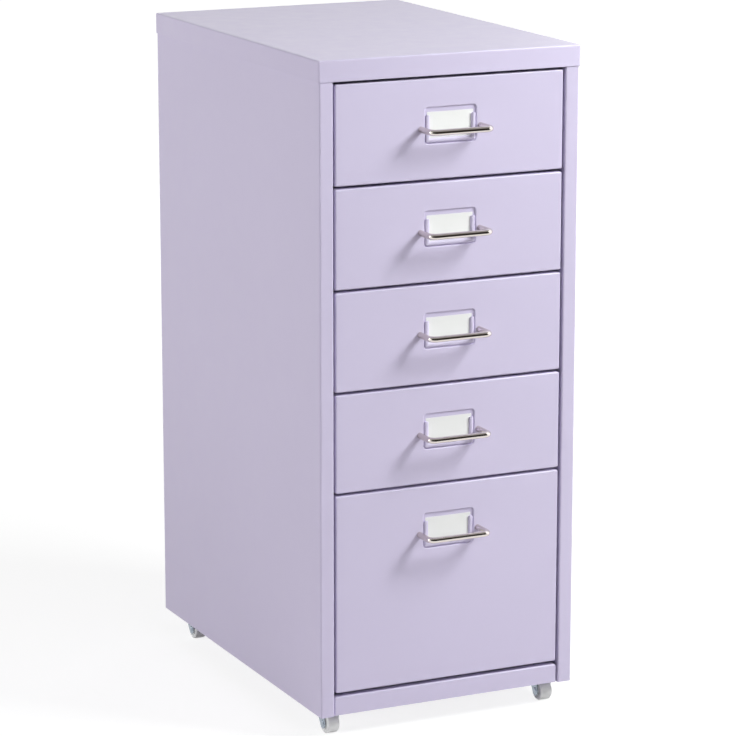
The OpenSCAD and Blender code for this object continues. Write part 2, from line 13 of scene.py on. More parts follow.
import bpy
import numpy as np
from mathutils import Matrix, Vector


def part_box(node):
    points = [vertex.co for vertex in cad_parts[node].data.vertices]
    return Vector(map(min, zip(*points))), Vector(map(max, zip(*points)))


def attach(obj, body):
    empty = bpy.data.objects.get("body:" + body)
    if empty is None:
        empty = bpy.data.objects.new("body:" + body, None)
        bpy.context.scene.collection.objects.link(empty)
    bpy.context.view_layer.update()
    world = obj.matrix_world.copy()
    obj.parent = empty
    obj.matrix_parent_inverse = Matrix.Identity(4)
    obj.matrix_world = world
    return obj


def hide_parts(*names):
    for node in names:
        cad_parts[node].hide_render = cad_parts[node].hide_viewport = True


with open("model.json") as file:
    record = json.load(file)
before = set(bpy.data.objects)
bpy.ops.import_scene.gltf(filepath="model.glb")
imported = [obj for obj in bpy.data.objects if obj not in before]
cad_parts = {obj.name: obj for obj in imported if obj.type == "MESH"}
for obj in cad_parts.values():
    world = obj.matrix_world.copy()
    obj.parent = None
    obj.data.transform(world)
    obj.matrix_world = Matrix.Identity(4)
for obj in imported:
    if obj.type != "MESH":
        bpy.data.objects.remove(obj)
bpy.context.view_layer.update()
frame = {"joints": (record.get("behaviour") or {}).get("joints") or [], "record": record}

# %% [markdown]
# ## Camera
#
# The cabinet is seen from its front left corner and from a little above its top. A short lens close by
# would make its uprights lean together, so a long one from far away keeps them almost parallel.

# %% Place the camera
MM = 0.001
SCENE = bpy.context.scene
CAMERA_AT = (-1.4203, -3.0010, 1.0940)
CAMERA_TURN = 25.362  # degrees, from straight ahead towards the right
CAMERA_DOWN = 13.073  # degrees below level
LENS = 162.25  # millimetres
SENSOR = 36  # millimetres


def put(data):
    """A new object in the scene, made of the data and named after it."""
    made = bpy.data.objects.new(data.name, data)
    SCENE.collection.objects.link(made)
    return made


camera = put(bpy.data.cameras.new("camera"))
camera.data.lens = LENS
camera.data.sensor_width = SENSOR
camera.location = CAMERA_AT
camera.rotation_euler = (math.radians(90 - CAMERA_DOWN), 0, math.radians(-CAMERA_TURN))
SCENE.camera = camera
SCENE.view_settings.view_transform = "Standard"
print("camera looks", CAMERA_DOWN, "degrees down through", LENS, "mm")

# %% [markdown]
# ## Helpers for shader nodes
#
# Every surface and the studio itself are node trees, so a few helpers come first. One of them tells which
# rays meet the studio directly: the eye, a mirror and glass should all find it white, while rays that only
# carry light may find it dimmer.


# %% Add and join nodes
def add(tree, kind, **settings):
    """A new shader node. A setting named after one of its sockets sets that socket, any other the node."""
    node = tree.nodes.new("ShaderNode" + kind)
    for name, value in settings.items():
        socket = node.inputs.get(name.replace("_", " "))
        if socket is None:
            setattr(node, name, value)
        else:
            socket.default_value = value
    return node


def join(tree, *wires):
    """Draws wires, each given as (node, output, node, input). A socket is named, or counted from 0."""
    for source, output, target, into in wires:
        tree.links.new(source.outputs[output], target.inputs[into])


def remap(tree, source, target, **settings):
    """A node that carries a value from one pair of limits to another."""
    spans = dict(From_Min=source[0], From_Max=source[1], To_Min=target[0], To_Max=target[1])
    return add(tree, "MapRange", **spans, **settings)


def seen_directly(tree):
    """The node that tells rays apart, and one that is 1 for rays from the eye, a mirror or glass."""
    rays = add(tree, "LightPath")
    eye_or_mirror = add(tree, "Math", operation="MAXIMUM")
    any_of_three = add(tree, "Math", operation="MAXIMUM")
    join(tree, (rays, "Is Camera Ray", eye_or_mirror, 0), (rays, "Is Glossy Ray", eye_or_mirror, 1))
    join(tree, (eye_or_mirror, 0, any_of_three, 0), (rays, "Is Transmission Ray", any_of_three, 1))
    return rays, any_of_three


def bare_material(name):
    """A new material, its node tree, and the output node, which is all that the tree holds."""
    material = bpy.data.materials.new(name)
    material.use_nodes = True
    tree = material.node_tree
    tree.nodes.remove(tree.nodes["Principled BSDF"])
    return material, tree, tree.nodes["Material Output"]


# %% [markdown]
# ## Studio
#
# The background is a plain white world over a pale floor. White is a strength of 1 for the rays that see
# it, and a lower strength lights the cabinet evenly. The floor adds a little light of its own for the eye,
# so that it reads as white and still keeps a soft shadow.

# %% World
AMBIENT = 0.13
world = bpy.data.worlds.new("studio")
world.use_nodes = True
SCENE.world = world
_, direct = seen_directly(world.node_tree)
strength = remap(world.node_tree, (0, 1), (AMBIENT, 1))
backdrop = world.node_tree.nodes["Background"]
backdrop.inputs["Color"].default_value = (1, 1, 1, 1)
join(world.node_tree, (direct, 0, strength, "Value"), (strength, 0, backdrop, "Strength"))
print("ambient light", AMBIENT)

# %% Finish of the floor
FLOOR_COLOR = (0.64, 0.62, 0.63, 1)
FLOOR_SHADE = (0.30, 0.30, 0.30, 1)
NEAR_GLOW = 0.82
FAR_GLOW = 1.0
GLOW_SPAN = (0.5, 2.5)  # metres from the middle of the floor


def floor_finish():
    """Pale floor: it reflects light as any floor does, looks near white, and can't be seen from below."""
    material, tree, output = bare_material("studio_floor")
    rays, direct = seen_directly(tree)
    lighting = add(tree, "BsdfDiffuse", Color=FLOOR_COLOR)
    shade = add(tree, "BsdfDiffuse", Color=FLOOR_SHADE)
    place = add(tree, "TexCoord")
    distance = add(tree, "VectorMath", operation="LENGTH")
    spread = remap(tree, GLOW_SPAN, (NEAR_GLOW, FAR_GLOW), interpolation_type="SMOOTHSTEP")
    glow = add(tree, "Emission")
    looks = add(tree, "AddShader")
    pale = add(tree, "MixShader")
    below = add(tree, "Math", operation="MULTIPLY")
    side = add(tree, "NewGeometry")
    clear = add(tree, "BsdfTransparent")
    final = add(tree, "MixShader")
    join(
        tree,
        (place, "Object", distance, 0), (distance, "Value", spread, "Value"), (spread, 0, glow, "Strength"),
        (shade, 0, looks, 0), (glow, 0, looks, 1),
        (direct, 0, pale, 0), (lighting, 0, pale, 1), (looks, 0, pale, 2),
        (side, "Backfacing", below, 0), (rays, "Is Camera Ray", below, 1),
        (below, 0, final, 0), (pale, 0, final, 1), (clear, 0, final, 2), (final, 0, output, "Surface"),
    )
    return material


white_floor = floor_finish()
print("the floor glows from", NEAR_GLOW, "to", FAR_GLOW)

# %% Floor
FLOOR_SIZE = 60.0


def stage_sheet(name, low, high, material):
    """A flat sheet of the studio between two opposite corners, which share one coordinate."""
    split = 1 if low[0] != high[0] else 2
    second = (*high[:split], *low[split:])
    fourth = (*low[:split], *high[split:])
    mesh = bpy.data.meshes.new(name)
    mesh.from_pydata([low, second, high, fourth], [], [(0, 1, 2, 3)])
    mesh.materials.append(material)
    sheet = put(mesh)
    return sheet


reach = FLOOR_SIZE / 2
stage_sheet("floor", (-reach, -reach, 0), (reach, reach, 0), white_floor)
print("floor", FLOOR_SIZE, "m across")

# %% [markdown]
# ## Lamps
#
# The strongest lamp is a softbox at the upper right. It throws the handles' shadows down and to the left,
# and brightens the folds at the top and the right of every front. Broad panels fill the left side, the back
# and, weakly, the front. Glossy surfaces don't see the big softbox but a small one of the same power in its
# middle, which puts a spark on every bend.
#
# Bright wire shows its roundness only through what it mirrors, and against white it would vanish. So a
# small room for mirrors alone stands round the front: a dark wall, a dark floor past the end of the white
# paper, a grey ceiling and, at the right, a bright panel that lights up the end of every handle.

# %% Softboxes
AIM = (0.0, -0.10, 0.38)


def softbox(name, place, width, height, power, color=(1.0, 1.0, 1.0)):
    """The object of a flat lamp, its size in metres and its power in watts, turned to face the cabinet."""
    lamp = bpy.data.lights.new(name, "AREA")
    lamp.shape = "RECTANGLE"
    lamp.size = width
    lamp.size_y = height
    lamp.energy = power
    lamp.color = color
    box = put(lamp)
    box.location = place
    box.rotation_euler = (Vector(AIM) - Vector(place)).to_track_quat("-Z", "Y").to_euler()
    print(name, power, "W")
    return box


KEY_COLOR = (0.968, 1.0, 0.965)
KEY_AT = (1.13, -1.15, 1.61)
KEY_POWER = 37.0
KEY_SIZE = 0.7
SPARK_SIZE = 0.3
key = softbox("key", KEY_AT, KEY_SIZE, KEY_SIZE, KEY_POWER, KEY_COLOR)
key.visible_glossy = False
mirrored_key = softbox("mirrored_key", KEY_AT, SPARK_SIZE, SPARK_SIZE, KEY_POWER, KEY_COLOR)
mirrored_key.visible_diffuse = False
softbox("front_fill", (0.4, -4.0, 1.6), 2.4, 1.6, 27.0)
softbox("left_panel", (-2.6, 0.3, 1.1), 1.6, 1.6, 33.0)
softbox("back_fill", (2.3, 2.4, 0.75), 1.2, 1.2, 22.0)

# %% The room that mirrors see
ROOM_FRONT = -2.3
ROOM_BACK = 0.3
ROOM_SIDE = 3.5
ROOM_TOP = 2.6
WALL_RIGHT = 1.9
PAPER_END = -1.05
DARK_Z = 2 * MM  # height of the dark floor
PANEL_X = 1.6
PANEL_FRONT = -1.7
PANEL_BACK = 0.5
PANEL_HEIGHT = 2.2
PANEL_GLOW = 1.6
DARK = (0.040, 0.034, 0.030)
GREY = (0.45, 0.45, 0.44)
WHITE = (1.0, 1.0, 1.0)


def mirror_sheet(name, low, high, color, strength=1.0):
    """A sheet of even brightness that only mirrors see."""
    material, tree, output = bare_material(name)
    glow = add(tree, "Emission", Color=(*color, 1), Strength=strength)
    join(tree, (glow, 0, output, "Surface"))
    sheet = stage_sheet(name, low, high, material)
    for use in ("camera", "diffuse", "transmission", "shadow"):
        setattr(sheet, "visible_" + use, False)
    print(name, "from", low, "to", high)


mirror_sheet("room_wall", (-ROOM_SIDE, ROOM_FRONT, 0), (WALL_RIGHT, ROOM_FRONT, ROOM_TOP), DARK)
mirror_sheet("room_floor", (-ROOM_SIDE, ROOM_FRONT, DARK_Z), (ROOM_SIDE, PAPER_END, DARK_Z), DARK)
mirror_sheet("room_ceiling", (-ROOM_SIDE, ROOM_FRONT, ROOM_TOP), (ROOM_SIDE, ROOM_BACK, ROOM_TOP), GREY)
mirror_sheet("room_panel", (PANEL_X, PANEL_FRONT, 0), (PANEL_X, PANEL_BACK, PANEL_HEIGHT), WHITE, PANEL_GLOW)

# %% [markdown]
# ## Surface effects shared by several finishes
#
# Powder coat melts into a skin with a faint orange-peel ripple, and plated steel and moulded plastic have
# fine unevenness too, at other scales. Pictures of them would show seams, so noise is used. One node group
# makes that ripple and a slow drift of gloss, and a second one lets a colour drift a little. Both read the
# piece's own coordinates, in metres, so the grain keeps its real size.


# %% Groups and scaled noise
def new_group(name, inputs, outputs):
    """An empty node group with named sockets, and its input and output nodes."""
    tree = bpy.data.node_groups.new(name, "ShaderNodeTree")
    for side, sockets in (("INPUT", inputs), ("OUTPUT", outputs)):
        for label, kind in sockets.items():
            tree.interface.new_socket(label, in_out=side, socket_type="NodeSocket" + kind)
    return tree, tree.nodes.new("NodeGroupInput"), tree.nodes.new("NodeGroupOutput")


def scaled_noise(tree, inside, times, **settings):
    """Noise on a group's Vector input, with its Scale input multiplied by times."""
    scale = add(tree, "Math", operation="MULTIPLY")
    scale.inputs[1].default_value = times
    noise = add(tree, "TexNoise", **settings)
    join(tree, (inside, "Scale", scale, 0), (scale, 0, noise, "Scale"), (inside, "Vector", noise, "Vector"))
    return noise


# %% The two groups
FINER = 4.3  # how many times finer the fine ripple is than the coarse one
BROADER = 0.1
FINE_SHARE = 0.2


def surface_ripple_group():
    """Height is coarse noise plus a small share of finer noise, and Gloss is much broader noise."""
    tree, inside, out = new_group(
        "surface_ripple", {"Vector": "Vector", "Scale": "Float"}, {"Height": "Float", "Gloss": "Float"}
    )
    coarse = scaled_noise(tree, inside, 1.0, Detail=2.0, Roughness=0.45)
    fine = scaled_noise(tree, inside, FINER, Detail=3.0, Roughness=0.6)
    broad = scaled_noise(tree, inside, BROADER, Detail=3.0, Roughness=0.6)
    both = add(tree, "Math", operation="MULTIPLY_ADD")
    both.inputs[1].default_value = FINE_SHARE
    join(tree, (fine, "Fac", both, 0), (coarse, "Fac", both, 2))
    join(tree, (both, 0, out, "Height"), (broad, "Fac", out, "Gloss"))
    return tree


def tone_drift_group():
    """Color times a factor that wanders round 1: 1 plus Amount times (noise minus a half)."""
    tree, inside, out = new_group(
        "tone_drift",
        {"Color": "Color", "Vector": "Vector", "Scale": "Float", "Amount": "Float"},
        {"Color": "Color"},
    )
    noise = scaled_noise(tree, inside, 1.0, Detail=3.0, Roughness=0.55)
    centred = add(tree, "Math", operation="SUBTRACT")
    centred.inputs[1].default_value = 0.5
    factor = add(tree, "Math", operation="MULTIPLY_ADD")
    factor.inputs[2].default_value = 1.0
    tinted = add(tree, "VectorMath", operation="SCALE")
    join(
        tree,
        (noise, "Fac", centred, 0), (centred, 0, factor, 0), (inside, "Amount", factor, 1),
        (inside, "Color", tinted, 0), (factor, 0, tinted, "Scale"), (tinted, 0, out, "Color"),
    )
    return tree


RIPPLE = surface_ripple_group()
DRIFT = tone_drift_group()
print("node groups:", RIPPLE.name, DRIFT.name)

# %% [markdown]
# ## Finishes
#
# All six finishes follow one plan: the colour drifts slightly, the ripple feeds a bump, and the drift of
# gloss moves the roughness within a narrow band. Only the numbers differ, so one function builds the plan
# and each finish states its own values. What is the same all over a surface, such as metal or translucency,
# is set on the shader itself.


# %% One function for every finish
NOISE_SPAN = (0.3, 0.7)  # between these lies nearly all of the noise


def finish(name, color, drift, drift_scale, ripple_scale, ripple_depth, roughness, **constants):
    """A material. drift is how far the colour wanders, as a share of it, and drift_scale how many times a
    metre. ripple_scale is the ripple's count a metre, ripple_depth its depth in metres, and roughness its
    two limits."""
    material = bpy.data.materials.new(name)
    material.use_nodes = True
    tree = material.node_tree
    shader = tree.nodes["Principled BSDF"]
    for socket, value in constants.items():
        shader.inputs[socket.replace("_", " ")].default_value = value
    place = add(tree, "TexCoord")
    ripple = add(tree, "Group", node_tree=RIPPLE, Scale=ripple_scale)
    tone = add(tree, "Group", node_tree=DRIFT, Color=(*color, 1), Scale=drift_scale, Amount=drift)
    bump = add(tree, "Bump", Strength=1.0, Distance=ripple_depth)
    gloss = remap(tree, NOISE_SPAN, roughness)
    join(
        tree,
        (place, "Object", tone, "Vector"), (tone, "Color", shader, "Base Color"),
        (place, "Object", ripple, "Vector"),
        (ripple, "Height", bump, "Height"), (bump, "Normal", shader, "Normal"),
        (ripple, "Gloss", gloss, "Value"), (gloss, 0, shader, "Roughness"),
    )
    return material


# %% The six finishes
FINISHES = {
    "powder_coat": finish(
        "lilac_powder_coat", color=(0.660, 0.602, 0.800), drift=0.035, drift_scale=6.0,
        ripple_scale=520.0, ripple_depth=0.018 * MM, roughness=(0.30, 0.40), Specular_IOR_Level=0.4,
    ),
    "chrome_wire": finish(
        "chrome_plate", color=(0.67, 0.615, 0.59), drift=0.03, drift_scale=60.0,
        ripple_scale=900.0, ripple_depth=0.0006 * MM, roughness=(0.02, 0.045), Metallic=1.0,
    ),
    # Bluish zinc plate, its colour set darker than bare plate: painted shade, so that the forks read as dark
    # as they do in the shadow under the cabinet. Every zinc part gets this darker colour.
    "zinc": finish(
        "bluish_zinc_plate", color=(0.37, 0.42, 0.48), drift=0.22, drift_scale=260.0,
        ripple_scale=700.0, ripple_depth=0.010 * MM, roughness=(0.20, 0.34), Metallic=1.0,
    ),
    "wheel_plastic": finish(
        "pale_grey_plastic", color=(0.93, 0.945, 0.94), drift=0.04, drift_scale=40.0,
        ripple_scale=1400.0, ripple_depth=0.012 * MM, roughness=(0.34, 0.46),
        Subsurface_Weight=0.4, Subsurface_Radius=(1.0, 1.0, 1.0), Subsurface_Scale=2 * MM,
    ),
    "card": finish(
        "white_card", color=(0.86, 0.865, 0.865), drift=0.02, drift_scale=90.0,
        ripple_scale=2600.0, ripple_depth=0.01 * MM, roughness=(0.68, 0.82),
    ),
    "rubber": finish(
        "black_rubber", color=(0.026, 0.026, 0.028), drift=0.25, drift_scale=120.0,
        ripple_scale=1500.0, ripple_depth=0.03 * MM, roughness=(0.62, 0.78),
    ),
}
print("finishes:", ", ".join(FINISHES))

# %% [markdown]
# ## From rings of points to a closed surface
#
# The pieces could be shaped by hand or with modifiers, but then every change of a size would mean new work.
# So each is a stack of computed rings, which are outlines with the same number of points. Neighbouring
# rings are joined by quads, and the first and last ring are closed with a flat face, or joined to each
# other. The sign of the enclosed volume tells whether the faces look outward. A shell is that mesh as three
# arrays: points, quads and end faces.


# %% Skin and pieces
def skin(rings, closed=False):
    """A closed shell over an array of rings, whose shape is (rings, points in a ring, 3). Its volume is the
    sum over all triangles of a . (b x c), over 6, and is negative if the faces look inward."""
    rows, around = rings.shape[:2]
    index = np.arange(rows * around).reshape(rows, around)
    ends = index[:0] if closed else np.stack((index[0, ::-1], index[-1]))
    if closed:
        index = np.vstack((index, index[:1]))
    ahead = np.roll(index, -1, axis=1)
    quads = np.stack((index[:-1], ahead[:-1], ahead[1:], index[1:]), axis=-1).reshape(-1, 4)
    fans = [np.column_stack((np.full(around - 2, end[0]), end[1:-1], end[2:])) for end in ends]
    corners = rings.reshape(-1, 3)[np.vstack([quads[:, :3], quads[:, [0, 2, 3]], *fans])]
    if np.einsum("ij,ij->", corners[:, 0], np.cross(corners[:, 1], corners[:, 2])) < 0:
        quads = quads[:, ::-1]
        ends = ends[:, ::-1]
    return rings.reshape(-1, 3), quads, ends


CREASE = 32  # degrees between two faces from which their edge stays sharp
BODY_OF = {node: body for body, group in frame["record"]["behaviour"]["bodies"].items() for node in group}


def piece(node, shells, slot="powder_coat"):
    """One smooth mesh made of closed shells, which takes a node's place and rides on that node's body."""
    starts = np.cumsum([0] + [len(points) for points, _, _ in shells])
    faces = [(part + start).tolist() for (_, *parts), start in zip(shells, starts) for part in parts]
    mesh = bpy.data.meshes.new(node + "_finished")
    mesh.from_pydata(np.vstack([points for points, _, _ in shells]).tolist(), [], sum(faces, []))
    mesh.materials.append(FINISHES[slot])
    mesh.shade_smooth()
    mesh.set_sharp_from_angle(angle=math.radians(CREASE))
    made = put(mesh)
    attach(made, BODY_OF[node])
    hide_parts(node)
    print(made.name, len(mesh.vertices), "points in", len(shells), "shells")


def limits(node):
    """Lowest and highest corner of a node of the frame, as arrays."""
    return [np.array(corner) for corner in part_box(node)]


def nodes(ending):
    """Name, lowest and highest corner of every node whose name ends like this."""
    return [(node, *limits(node)) for node in BODY_OF if node.endswith(ending)]


# %% [markdown]
# ## Outlines with round corners
#
# Folded steel is straight lines joined by quarter circles. An arc gets a handful of points, and just past
# each end of it one more point sits on the straight. That support point keeps the wide flat face truly flat
# when the surface is shaded smooth, and lets the light turn only round the fold.

# %% Arcs and rounded rectangles
SHEET = 0.8 * MM
FOLD_R = 1.6 * MM
CORNER_R = 1.8 * MM
LEAST_R = 0.15 * MM
EDGE = 0.15 * MM  # how much a cut edge is eased
EASE = 0.35 * MM  # from the end of an arc to its support point
CORNER_POINTS = 8
BEND_POINTS = 7


def arc(centre, radius, start, end, count):
    """Points on a circle: centre plus radius times (cosine, sine) of angles evenly spaced in degrees."""
    angle = np.radians(np.linspace(start, end, count))
    return np.column_stack((centre[0] + radius * np.cos(angle), centre[1] + radius * np.sin(angle)))


def outline(half_width, half_height, radius):
    """A rounded rectangle round the origin: four quarter circles, whose ends the straight sides join."""
    x = half_width - radius
    y = half_height - radius
    corners = ((x, y), (-x, y), (-x, -y), (x, -y))
    return np.vstack([arc(c, radius, 90 * n, 90 * n + 90, CORNER_POINTS) for n, c in enumerate(corners)])


def all_round(count):
    """Evenly spaced angles once round, in radians."""
    return np.linspace(0, 2 * math.pi, count, endpoint=False)


def level(points, height):
    """Plane points, each given the same third coordinate."""
    return np.column_stack((points, np.full(len(points), height)))


print("a rounded rectangle has", 4 * CORNER_POINTS, "points")

# %% [markdown]
# ## A face folded back all round
#
# The cap and the drawer fronts are shallow pans: a flat face, a fold on each side and a flange. A bevelled
# box would have no inside, so the section of the fold is listed as (distance in, depth behind the face). It
# runs from the face over the bend, round the cut edge of the flange and back along the inside. Each row
# becomes one rounded rectangle, and the stack of them is the pan.


# %% Pans, and the top cap
def fold_section(depth):
    """Two quarter circles about one centre, FOLD_R outside and a sheet less inside, and an eased edge."""
    centre = (FOLD_R, FOLD_R)
    return np.vstack((
        (FOLD_R + EASE, 0),
        arc(centre, FOLD_R, 270, 180, BEND_POINTS),
        (0, FOLD_R + EASE),
        (0, depth - EDGE),
        (EDGE, depth),
        (SHEET - EDGE, depth),
        (SHEET, depth - EDGE),
        (SHEET, FOLD_R + EASE),
        arc(centre, FOLD_R - SHEET, 180, 270, BEND_POINTS),
        (FOLD_R + EASE, SHEET),
    ))


def inset_outline(half_width, half_height, inset, radius):
    """A rounded rectangle moved inward by inset. Its corner radius shrinks too, but never to nothing."""
    return outline(half_width - inset, half_height - inset, max(radius - inset, LEAST_R))


def pan_rings(half_width, half_height, depth):
    """A folded pan, its face at height 0 and its flanges reaching up to depth."""
    return np.stack([
        level(inset_outline(half_width, half_height, inset, CORNER_R), rise)
        for inset, rise in fold_section(depth)
    ])


low, high = limits("top_cap")
middle = (low + high) / 2
rings = pan_rings(*(high - middle)[:2], (high - low)[2])
piece("top_cap", [skin(rings * (1, 1, -1) + (middle[0], middle[1], high[2]))])

# %% [markdown]
# ## Sheet folded along a line
#
# The side panels, the floor and the runners are strips whose section never changes. A modifier could
# thicken a bent sheet but would leave sharp cut edges. Here the section follows the middle of the sheet:
# straight, an arc at each fold, and straight again. Moving that line half a sheet to one side, and on the
# way back to the other, gives the closed outline, a hair thinner at its cut ends.


# %% Folded strips
def middle_line(corners, radius):
    """Points and left-hand unit normals along a line that turns on an arc at each inner corner. An arc of
    radius r that turns by t starts r tan(t / 2) before its corner, and its centre lies r to the side that
    it turns to."""
    legs = np.diff(corners, axis=0)
    ways = legs / np.linalg.norm(legs, axis=1)[:, None]
    sides = np.column_stack((-ways[:, 1], ways[:, 0]))
    points = [corners[0], corners[0] + EDGE * ways[0]]
    normals = [sides[0], sides[0]]
    for corner, into, out, side in zip(corners[1:-1], ways, ways[1:], sides):
        turn = math.atan2(into[0] * out[1] - into[1] * out[0], into @ out)
        start = corner - radius * math.tan(abs(turn) / 2) * into
        centre = start + math.copysign(radius, turn) * side
        angle = math.atan2(side[1], side[0]) + np.linspace(0, turn, BEND_POINTS)
        turned_normals = np.column_stack((np.cos(angle), np.sin(angle)))
        bend = centre - math.copysign(radius, turn) * turned_normals
        points += [start - EASE * into, *bend, bend[-1] + EASE * out]
        normals += [side, *turned_normals, turned_normals[-1]]
    points += [corners[-1] - EDGE * ways[-1], corners[-1]]
    normals += [sides[-1], sides[-1]]
    return np.array(points), np.array(normals)


def section_outline(corners, wall, radius, trim):
    """The middle line moved to both sides by half the wall less trim, and EDGE less at its free ends."""
    points, normals = middle_line(np.asarray(corners, float), radius)
    half = np.full(len(points), wall / 2 - trim)
    half[[0, -1]] -= EDGE
    offset = normals * half[:, None]
    return np.vstack((points + offset, (points - offset)[::-1]))


def strip(corners, start, end, along=1, wall=SHEET, radius=FOLD_R - SHEET / 2):
    """A folded strip. Its section lies in the two axes other than along, which is 1 for Y and 2 for Z."""
    places = ((start, EDGE), (start + EDGE, 0), (end - EDGE, 0), (end, EDGE))
    rings = np.stack([level(section_outline(corners, wall, radius, trim), place) for place, trim in places])
    return skin(rings if along == 2 else rings[..., [0, 2, 1]])


print("a fold of a strip has", BEND_POINTS + 2, "points a side")

# %% [markdown]
# ## Drawer fronts with a pressed recess
#
# A press pushes the label recess into the face before it is folded: the steel turns over a rim, runs down a
# short slope and turns again into a flat floor. A boolean would cut it out with hard edges. Instead, the
# recess rings and the pan's rings are one stack, and the quads between them are the flat of the face.

# %% Drawer fronts
RECESS_HALF = (27.25 * MM, 17.5 * MM)
RECESS_R = 3 * MM
RECESS_DEPTH = 1.8 * MM
PRESS_R = 0.65 * MM
RIM_OUT = 0.8 * MM
ROOT_OUT = 0.1 * MM
PRESS_END = 1.2 * MM
HOLDER_GAP = 1 * MM
half = SHEET / 2


def recess_sections():
    """Front and back of the pressing, as (distance out from the recess's edge, depth): the middle line
    moved by half a sheet to its left and to its right."""
    floor = RECESS_DEPTH + half
    face_leg = [(RIM_OUT + PRESS_END, half), (RIM_OUT, half)]
    floor_leg = [(ROOT_OUT, floor), (ROOT_OUT - PRESS_END, floor)]
    points, normals = middle_line(np.array(face_leg + floor_leg), PRESS_R)
    return points + half * normals, points - half * normals


def recess_rings(section, rise):
    """One rounded rectangle for each row of the section, centred rise above the middle of the face."""
    return np.stack([
        level(outline(RECESS_HALF[0] + out, RECESS_HALF[1] + out, RECESS_R + out) + (0, rise), depth)
        for out, depth in section
    ])


recess_front, recess_back = recess_sections()
for node, low, high in nodes("_front"):
    middle = (low + high) / 2
    holder_low, _ = limits(node.replace("front", "label_holder"))
    rise = holder_low[2] - HOLDER_GAP + RECESS_HALF[1] - middle[2]
    rings = np.vstack((
        recess_rings(recess_front[::-1], rise),
        pan_rings(high[0], high[2] - middle[2], high[1] - low[1]),
        recess_rings(recess_back, rise),
    ))
    piece(node, [skin(rings[..., [0, 2, 1]] + (0, low[1], middle[2]))])

# %% Side panels
POST_RETURN = 10 * MM
REAR_FLANGE = 14 * MM
TOP_FLANGE = 12 * MM
for node, low, high in nodes("_side_panel"):
    outside, inside = (low[0], high[0]) if low[0] < 0 else (high[0], low[0])
    inward = np.sign(inside - outside)
    wall_x = outside + inward * half
    return_x = inside - inward * half
    plan = [
        (return_x, low[1] + POST_RETURN),
        (return_x, low[1] + half),
        (wall_x, low[1] + half),
        (wall_x, high[1] - half),
        (outside + inward * REAR_FLANGE, high[1] - half),
    ]
    fold_z = high[2] - FOLD_R
    top = high[2] - half
    fold = [(wall_x, fold_z - FOLD_R), (wall_x, top), (outside + inward * TOP_FLANGE, top)]
    piece(node, [strip(plan, low[2], fold_z, along=2), strip(fold, low[1] + POST_RETURN, high[1] - FOLD_R)])

# %% Back panel
low, high = limits("back_panel")
back_y = (low[1] + high[1]) / 2
piece("back_panel", [strip([(low[0], back_y), (high[0], back_y)], low[2], high[2], along=2)])

# %% [markdown]
# ## Three-sided pans
#
# The skirt under the bottom drawer is folded back along its top and its two ends but not along its foot,
# and a drawer's tray is open towards its front. Deleting one side of a pan would leave a hole in the sheet.
# So the rows of the fold become open arches on one line, where the first and last row lie too.


# %% Arches
FOOT_SPREAD = 0.9  # share of the foot's width over which its points are spread


def arch(half_width, foot, top, radius):
    """An open outline that climbs on the left, turns two round corners and comes down on the right."""
    left = arc((radius - half_width, top - radius), radius, 180, 90, CORNER_POINTS)
    right = arc((half_width - radius, top - radius), radius, 90, 0, CORNER_POINTS)
    return np.vstack(((-half_width, foot), left, right, (half_width, foot)))


def arch_pan(half_width, foot, top, depth, radius):
    """A face with flanges of the given depth on all sides but its foot, as rings across the arch."""
    rows = [
        level(arch(half_width - inset, foot, top - inset, max(radius - inset, LEAST_R)), rise)
        for inset, rise in fold_section(depth)
    ]
    spread = np.linspace(-FOOT_SPREAD, FOOT_SPREAD, len(rows[0])) * half_width
    foot_line = np.column_stack((spread, np.full(len(spread), foot)))
    return np.stack([level(foot_line, 0), *rows, level(foot_line, SHEET)]).transpose(1, 0, 2)


print("an arch has", 2 * CORNER_POINTS + 2, "points")

# %% Floor and skirt
SKIRT_SIDE_GAP = 1 * MM
SKIRT_H = 19 * MM
SKIRT_FLANGE = 8 * MM
SKIRT_CORNER_R = 3 * MM
PAN_FLANGE = 12 * MM
PAN_GAP = 0.2 * MM

low, high = limits("base_panel")
side_low, side_high = limits("left_side_panel")
skirt_half = -side_high[0] - SKIRT_SIDE_GAP
skirt = arch_pan(skirt_half, low[2], low[2] + SKIRT_H, SKIRT_FLANGE, SKIRT_CORNER_R)
floor_z = high[2] - PAN_FLANGE + half
floor_front = side_low[1] + POST_RETURN + PAN_GAP
flange_x = high[0] - half
channel = [(-flange_x, high[2]), (-flange_x, floor_z), (flange_x, floor_z), (flange_x, high[2])]
shells = [
    skin(skirt[..., [0, 2, 1]] + (0, low[1], 0)),
    strip([(-skirt_half, floor_z), (skirt_half, floor_z)], low[1] + SHEET, floor_front),
    strip(channel, floor_front, high[1]),
]
piece("base_panel", shells)

# %% [markdown]
# ## Trays
#
# Each drawer's tray is one of those three-sided pans. Along the top of its two long walls a rim turns
# outward and down and slides in the runner, and a lug at its back end meets the runner's stop. A narrow
# border at the open end is what the drawer's front is welded to.

# %% Sections carried along an arch
def carried(section, half_width, end, bottom, radius, narrowing=1.0, end_rows=()):
    """A closed section carried down the left, along the bottom and up the right of an arch turned upside
    down. A row of the section is (distance in from the outline, height off the ground). Along the bottom
    the distances are multiplied by narrowing. end_rows are (drop, flatness) of extra rows at the two upper
    ends: drop(distance in) is how far below the end the row lies, and flatness scales the heights."""
    paths = []
    for inset, rise in section:
        path = arch(half_width - inset, -end, -bottom - inset * narrowing, max(radius - inset, LEAST_R))
        tips = [(path[0] + (0, drop(inset)), rise * flat) for drop, flat in end_rows]
        rows = [(*point, height) for point, height in tips] + [(*point, rise) for point in path[1:-1]]
        rows += [(-x, y, height) for (x, y), height in reversed(tips)]
        paths.append(rows if end_rows else [(*point, rise) for point in path])
    return np.array(paths).transpose(1, 0, 2) * (1, -1, 1)


# %% Drawer trays
TRAY_BORDER = 8 * MM
RIM_W = 9 * MM
RIM_H = 5 * MM
LUG_L = 12 * MM
RIM_GAP = 1 * MM

